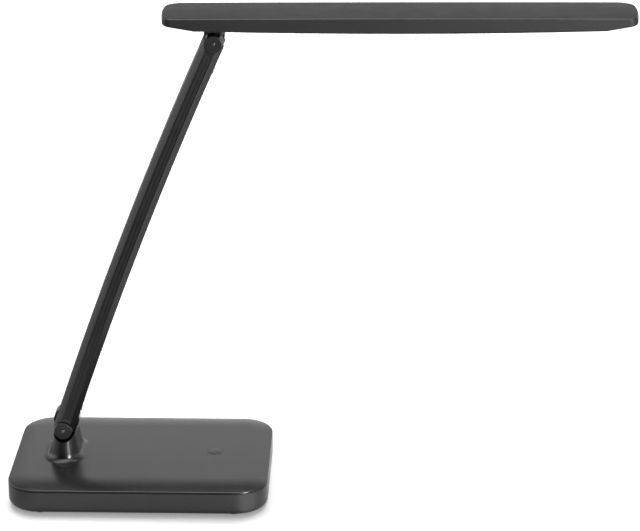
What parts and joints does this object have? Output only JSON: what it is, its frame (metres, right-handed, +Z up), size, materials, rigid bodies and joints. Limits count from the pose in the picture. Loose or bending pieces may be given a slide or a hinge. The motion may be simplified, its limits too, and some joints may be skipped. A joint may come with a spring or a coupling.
{
  "type": "desk lamp",
  "caption": "Charcoal LED desk lamp: flat rounded base with a push button, bowed swing arm hinged at both ends and a long slim head that tilts.",
  "frame": {"origin": "middle of the base's footprint, on the desk plane that the feet stand on", "axes": "+X along the base towards the free end of the head, +Y to the back along both hinge axes, +Z up"},
  "size_m": [0.4731, 0.139, 0.3833],
  "materials": {
    "lid_plastic": "satin charcoal moulding",
    "tray_plastic": "satin charcoal moulding",
    "button_plastic": "satin charcoal moulding",
    "foot_rubber": "matt black",
    "steel": "bright zinc",
    "screw_steel": "bright zinc",
    "board": "green solder mask",
    "switch_plastic": "black moulding",
    "arm_metal": "satin charcoal coating",
    "trim_plastic": "matt dark moulding",
    "fork_metal": "satin charcoal coating",
    "washer_plastic": "natural",
    "cap_plastic": "satin dark moulding",
    "head_plastic": "satin charcoal moulding",
    "bezel_plastic": "satin charcoal moulding",
    "diffuser_plastic": "milky white",
    "led_board_metal": "white solder mask",
    "led_plastic": "yellow phosphor",
    "bracket_metal": "satin charcoal coating"
  },
  "bodies": {
    "base": {"base_lid": "lid_plastic", "base_tray": "tray_plastic", "rubber_feet": "foot_rubber", "base_screws": "screw_steel", "ballast_plate": "steel", "base_knuckle": "steel", "knuckle_screws": "screw_steel", "control_board": "board", "board_screws": "screw_steel", "push_switch": "switch_plastic", "power_inlet": "switch_plastic"},
    "button": {"power_button": "button_plastic"},
    "arm": {"arm_tube": "arm_metal", "arm_trims": "trim_plastic", "lower_fork": "fork_metal", "upper_fork": "fork_metal", "fork_screws": "screw_steel", "hinge_pins": "steel", "hinge_nuts": "steel", "spring_washers": "steel", "friction_washers": "washer_plastic", "hinge_caps": "cap_plastic", "cap_screws": "screw_steel"},
    "head": {"head_shell": "head_plastic", "head_bezel": "bezel_plastic", "diffuser": "diffuser_plastic", "led_board": "led_board_metal", "led_chips": "led_plastic", "head_bracket": "bracket_metal", "bracket_screws": "screw_steel"}
  },
  "joints": [
    {"name": "arm_tilt", "type": "hinge", "parent": "base", "child": "arm", "pos_m": [-0.0605, 0, 0.0474], "axis": [0, 1, 0], "range_deg": [-45, 35]},
    {"name": "head_tilt", "type": "hinge", "parent": "arm", "child": "head", "pos_m": [0.0615, 0, 0.3589], "axis": [0, 1, 0], "range_deg": [-30, 75]},
    {"name": "button_press", "type": "slide", "parent": "base", "child": "button", "axis": [0, 0, -1], "range_m": [0, 0.0008], "stiffness_N_per_m": 1000, "springref_m": -0.0008}
  ]
}
